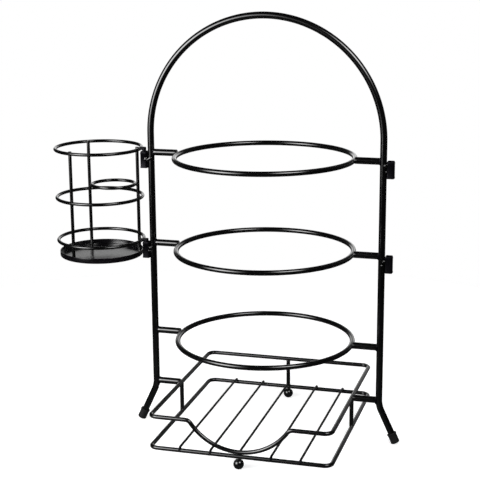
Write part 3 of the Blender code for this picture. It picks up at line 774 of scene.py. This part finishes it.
def build_pan():
    low, height = PAN_LOW.z, PAN_HIGH.z - PAN_LOW.z
    inner = PAN_R - PAN_WALL
    corner = PAN_CORNER_R - PAN_WALL
    under = [(PAN_R * share, 0) for share in PAN_RINGS]
    outside = arc((PAN_R - PAN_CORNER_R, PAN_CORNER_R), PAN_CORNER_R, -math.pi / 2, 0, math.radians(10))
    lip = arc((PAN_R - PAN_WALL / 2, height - PAN_WALL / 2), PAN_WALL / 2, 0, math.pi, math.radians(20))
    inside = arc((inner - corner, PAN_WALL + corner), corner, 0, -math.pi / 2, math.radians(15))
    floor = [(PAN_R * share, PAN_WALL) for share in reversed(PAN_RINGS)]
    pan = turned([*under, *outside, *lip, *inside, *floor], 128, (CUP_X, 0, low))
    piece("cup_pan", [pan], "coated_sheet", "cup", finish=PAN_SHEET)


def hook_shell(ring_z, low, high):
    """A flat strip that starts over the ring and bends down into the pocket, with its edges rounded."""
    tab_right = high.x - CUP_X
    tab_left = tab_right - HOOK_THICKNESS
    top = ring_z + HOOK_THICKNESS
    start = CUP_RING_R + HOOK_START
    step = math.radians(15)
    inside = arc((tab_left - HOOK_INNER_R, ring_z - HOOK_INNER_R), HOOK_INNER_R, math.pi / 2, 0, step)
    outside = arc((tab_right - HOOK_BEND_R, top - HOOK_BEND_R), HOOK_BEND_R, 0, math.pi / 2, step)
    tip = [(tab_left, low.z + HOOK_TIP), (tab_left + HOOK_TIP, low.z),
           (tab_right - HOOK_TIP, low.z), (tab_right, low.z + HOOK_TIP)]
    outline = np.array([(start, top), (start, ring_z), *inside, *tip, *outside])
    forward = np.roll(outline, -1, axis=0) - outline
    backward = outline - np.roll(outline, 1, axis=0)
    forward /= np.linalg.norm(forward, axis=1)[:, None]
    backward /= np.linalg.norm(backward, axis=1)[:, None]
    across = forward + backward
    across /= np.linalg.norm(across, axis=1)[:, None]
    outward = np.column_stack([across[:, 1], -across[:, 0]])
    rings = []
    for sign, angles in ((-1, (90, 60, 30, 0)), (1, (0, 30, 60, 90))):
        for a in np.radians(angles):
            y = sign * (HOOK_WIDTH / 2 - HOOK_EDGE * (1 - math.sin(a)))
            shrunk = outline - outward * (HOOK_EDGE * (1 - math.cos(a)))
            rings.append([(CUP_X + x, y, z) for x, z in shrunk])
    points, faces = band(rings)
    sides = len(outline)
    faces.append(tuple(range(sides)))
    faces.append(tuple(range(len(points) - sides, len(points))))
    return points, faces


def build_hooks():
    for name, level in (("lower", "bottom"), ("upper", "top")):
        node = f"cup_hook_{name}"
        low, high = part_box(node)
        ring_z = CUP_RING_Z[level]
        welds = [lump((CUP_X + CUP_RING_R + HOOK_SPOT_OUT, side * HOOK_SPOT_SIDE, ring_z + HOOK_SPOT_UP), HOOK_SPOT,
                      40.0 + number + ring_z * 9) for number, side in enumerate((-1, 1))]
        piece(node, [hook_shell(ring_z, low, high)], "coated_sheet", "cup", welds=welds)


# Studio

def build_world():
    """White to the camera, plain light on the object, and in reflections dim, a little less so behind the stand."""
    world = bpy.data.worlds.new("studio")
    bpy.context.scene.world = world
    world.use_nodes = True
    tree = world.node_tree
    tree.nodes.clear()

    def background(strength):
        node = add_node(tree, "ShaderNodeBackground", {"Color": WHITE, "Strength": strength})
        return node.outputs["Background"]

    def mixed(factor, first, second):
        return add_node(tree, "ShaderNodeMixShader", {"Fac": factor, 1: first, 2: second}).outputs["Shader"]

    ray = add_node(tree, "ShaderNodeLightPath").outputs
    way = add_node(tree, "ShaderNodeTexCoord").outputs["Generated"]
    split = add_node(tree, "ShaderNodeSeparateXYZ", {"Vector": way})
    reflected = ranged(tree, split.outputs["Y"], (0.0, GLOSSY_BACK_Y), (GLOSSY_FRONT, GLOSSY_BACK))
    light = mixed(ray["Is Glossy Ray"], background(AMBIENT), background(reflected))
    seen = maths(tree, "MAXIMUM", ray["Is Camera Ray"], ray["Is Transmission Ray"])
    add_node(tree, "ShaderNodeOutputWorld", {"Surface": mixed(seen, light, background(1.0))})


def build_table():
    """A white table top that keeps the stand's soft shadow."""
    bm = bmesh.new()
    bmesh.ops.create_circle(bm, cap_ends=True, radius=TABLE_RADIUS, segments=96)
    mesh = bpy.data.meshes.new("table_top")
    bm.to_mesh(mesh)
    bm.free()
    material = bpy.data.materials.new("table_top")
    material.use_nodes = True
    tree = material.node_tree
    ray = add_node(tree, "ShaderNodeLightPath").outputs
    place = add_node(tree, "ShaderNodeTexCoord").outputs["Object"]
    reach = add_node(tree, "ShaderNodeVectorMath", {0: place}, operation="LENGTH").outputs["Value"]
    reflected = ranged(tree, reach, (TABLE_NEAR_REACH, TABLE_FAR_REACH), (TABLE_NEAR, TABLE_FAR))
    # Inputs 6 and 7 of a colour mix are its A and B, and output 2 is its result
    colour = add_node(tree, "ShaderNodeMix", {"Factor": ray["Is Glossy Ray"], 6: TABLE_COLOUR, 7: reflected},
                      data_type="RGBA").outputs[2]
    fill(tree, tree.nodes["Principled BSDF"], {
        "Base Color": colour,
        "Roughness": TABLE_ROUGHNESS,
        "Specular IOR Level": 0.0,
        "Emission Color": WHITE,
        "Emission Strength": maths(tree, "MULTIPLY", ray["Is Camera Ray"], TABLE_LIFT),
    })
    mesh.materials.append(material)
    table = bpy.data.objects.new("table_top", mesh)
    bpy.context.scene.collection.objects.link(table)


def soft_edges(lamp, edges):
    """Let a softbox fade towards its edges, over the given shares of its width and height."""
    lamp.use_nodes = True
    tree = lamp.node_tree
    place = add_node(tree, "ShaderNodeNewGeometry").outputs["Parametric"]
    split = add_node(tree, "ShaderNodeSeparateXYZ", {"Vector": place})
    fades = []
    for axis, edge in zip("XY", edges):
        off_middle = maths(tree, "ABSOLUTE", maths(tree, "SUBTRACT", split.outputs[axis], 0.5))
        fades.append(ranged(tree, off_middle, (0.5 - edge, 0.5), (1.0, 0.0)))
    fill(tree, tree.nodes["Emission"], {"Strength": maths(tree, "MULTIPLY", *fades)})


def soft_light(name, target, azimuth, elevation, distance, size, radiance, edges):
    """A rectangular softbox that faces its target, with its angles in degrees.

    Azimuth 0 is in front of the stand, positive to its right. The radiance holds where the edges don't fade.
    """
    azimuth, elevation = math.radians(azimuth), math.radians(elevation)
    lamp = bpy.data.lights.new(name, "AREA")
    lamp.shape = "RECTANGLE"
    lamp.size, lamp.size_y = size
    lamp.energy = radiance * math.pi * size[0] * size[1]
    soft_edges(lamp, edges)
    box = bpy.data.objects.new(name, lamp)
    way = Vector((math.sin(azimuth) * math.cos(elevation), -math.cos(azimuth) * math.cos(elevation),
                  math.sin(elevation)))
    box.location = Vector(target) + way * distance
    box.rotation_euler = way.to_track_quat("Z", "Y").to_euler()
    bpy.context.scene.collection.objects.link(box)
    return box


def build_lights():
    """Two softboxes in front, and a far panel behind that only reflections see."""
    soft_light("left_softbox", target=(STAND_X, 0, 0.16), azimuth=-38, elevation=20, distance=1.20,
               size=(1.30, 1.20), radiance=10.0, edges=(0.5, 0.5))
    soft_light("right_softbox", target=(STAND_X, 0, 0.35), azimuth=48, elevation=38, distance=1.20,
               size=(0.95, 0.85), radiance=9.6, edges=(0.4, 0.5))
    panel = soft_light("back_panel", target=(-0.8, 0, 0.75), azimuth=180, elevation=0, distance=4.0,
                       size=(6.4, 2.20), radiance=0.97, edges=(0.3, 0.5))
    panel.visible_camera = False
    panel.visible_diffuse = False


def build_camera():
    lens = bpy.data.cameras.new("camera")
    lens.sensor_width = SENSOR_WIDTH
    lens.lens = CAMERA_LENS
    lens.shift_x, lens.shift_y = -HALF_PIXEL, HALF_PIXEL
    camera = bpy.data.objects.new("camera", lens)
    camera.location = CAMERA_PLACE
    camera.rotation_euler = CAMERA_TURN
    bpy.context.scene.collection.objects.link(camera)
    bpy.context.scene.camera = camera


build_rod()
build_caps()
build_rings()
build_stubs()
build_basket_frames()
build_grid()
build_risers()
build_balls()
build_pockets()
build_cup_wires()
build_pan()
build_hooks()
build_world()
build_table()
build_lights()
build_camera()
bpy.context.scene.view_settings.view_transform = "Standard"
